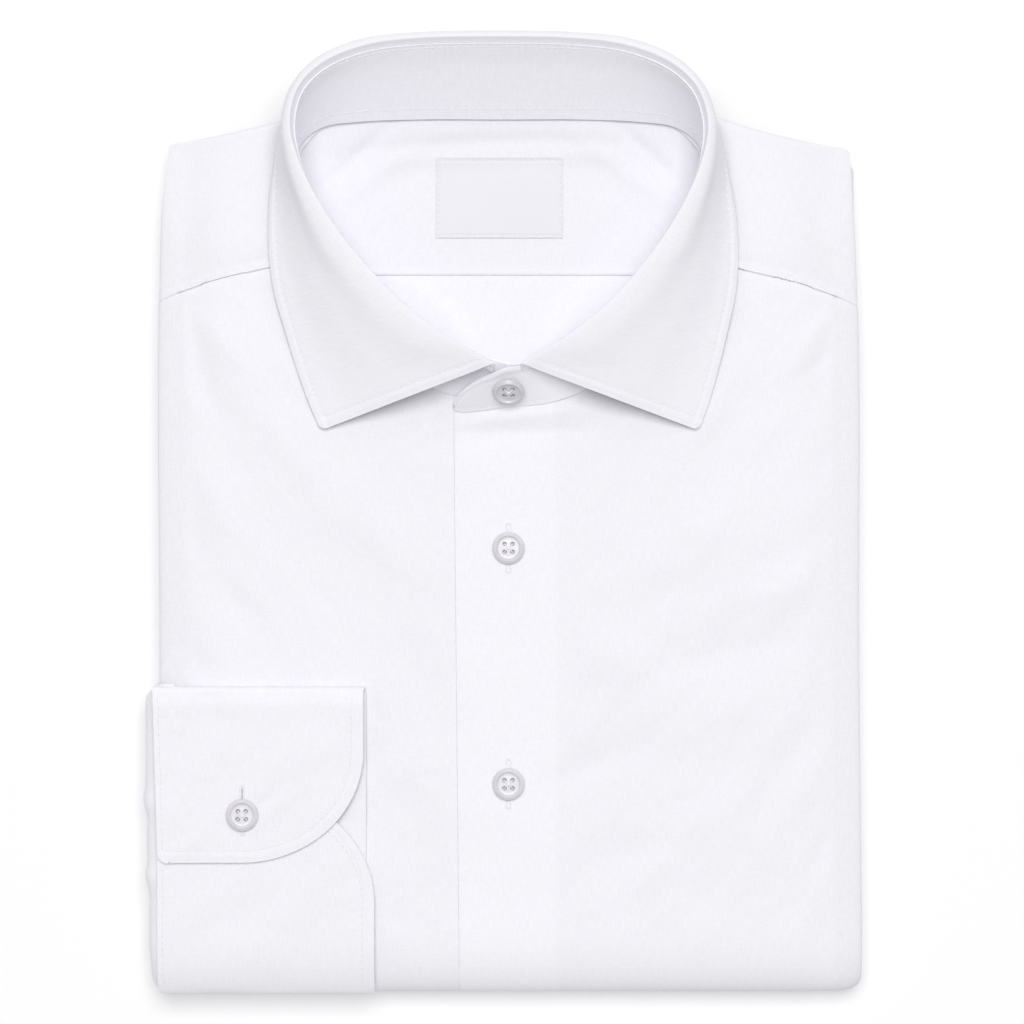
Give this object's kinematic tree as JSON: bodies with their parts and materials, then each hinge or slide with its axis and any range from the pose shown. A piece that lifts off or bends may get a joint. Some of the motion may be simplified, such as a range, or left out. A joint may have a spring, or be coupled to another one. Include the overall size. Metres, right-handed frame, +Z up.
{
  "type": "folded dress shirt",
  "caption": "Long-sleeved button-front dress shirt folded flat on its back, with a standing turned-down collar and one cuff laid on the front.",
  "frame": {"origin": "Bottom centre of the folded shirt's bounding box, on the surface it lies on.", "axes": "+Z up from the surface, +Y from the bottom fold towards the collar, +X to the wearer's left (the side with the buttonholes)."},
  "size_m": [0.2546, 0.338, 0.0479],
  "materials": {
    "shirt_cloth": "white cotton shirting with a fine close weave, soft matte with a faint sheen",
    "label_satin": "white woven satin ribbon, blank",
    "button_white": "white glossy four-hole shirt button"
  },
  "bodies": {
    "root": {"folded_core": "shirt_cloth", "front_left": "shirt_cloth", "front_right": "shirt_cloth", "yoke": "shirt_cloth", "yoke_inner": "shirt_cloth", "back_panel": "shirt_cloth", "neck_label": "label_satin", "collar_stand": "shirt_cloth", "collar_leaf": "shirt_cloth", "sleeve": "shirt_cloth", "cuff": "shirt_cloth", "front_button_1": "button_white", "front_button_2": "button_white", "cuff_button": "button_white", "collar_button": "button_white"}
  },
  "joints": []
}
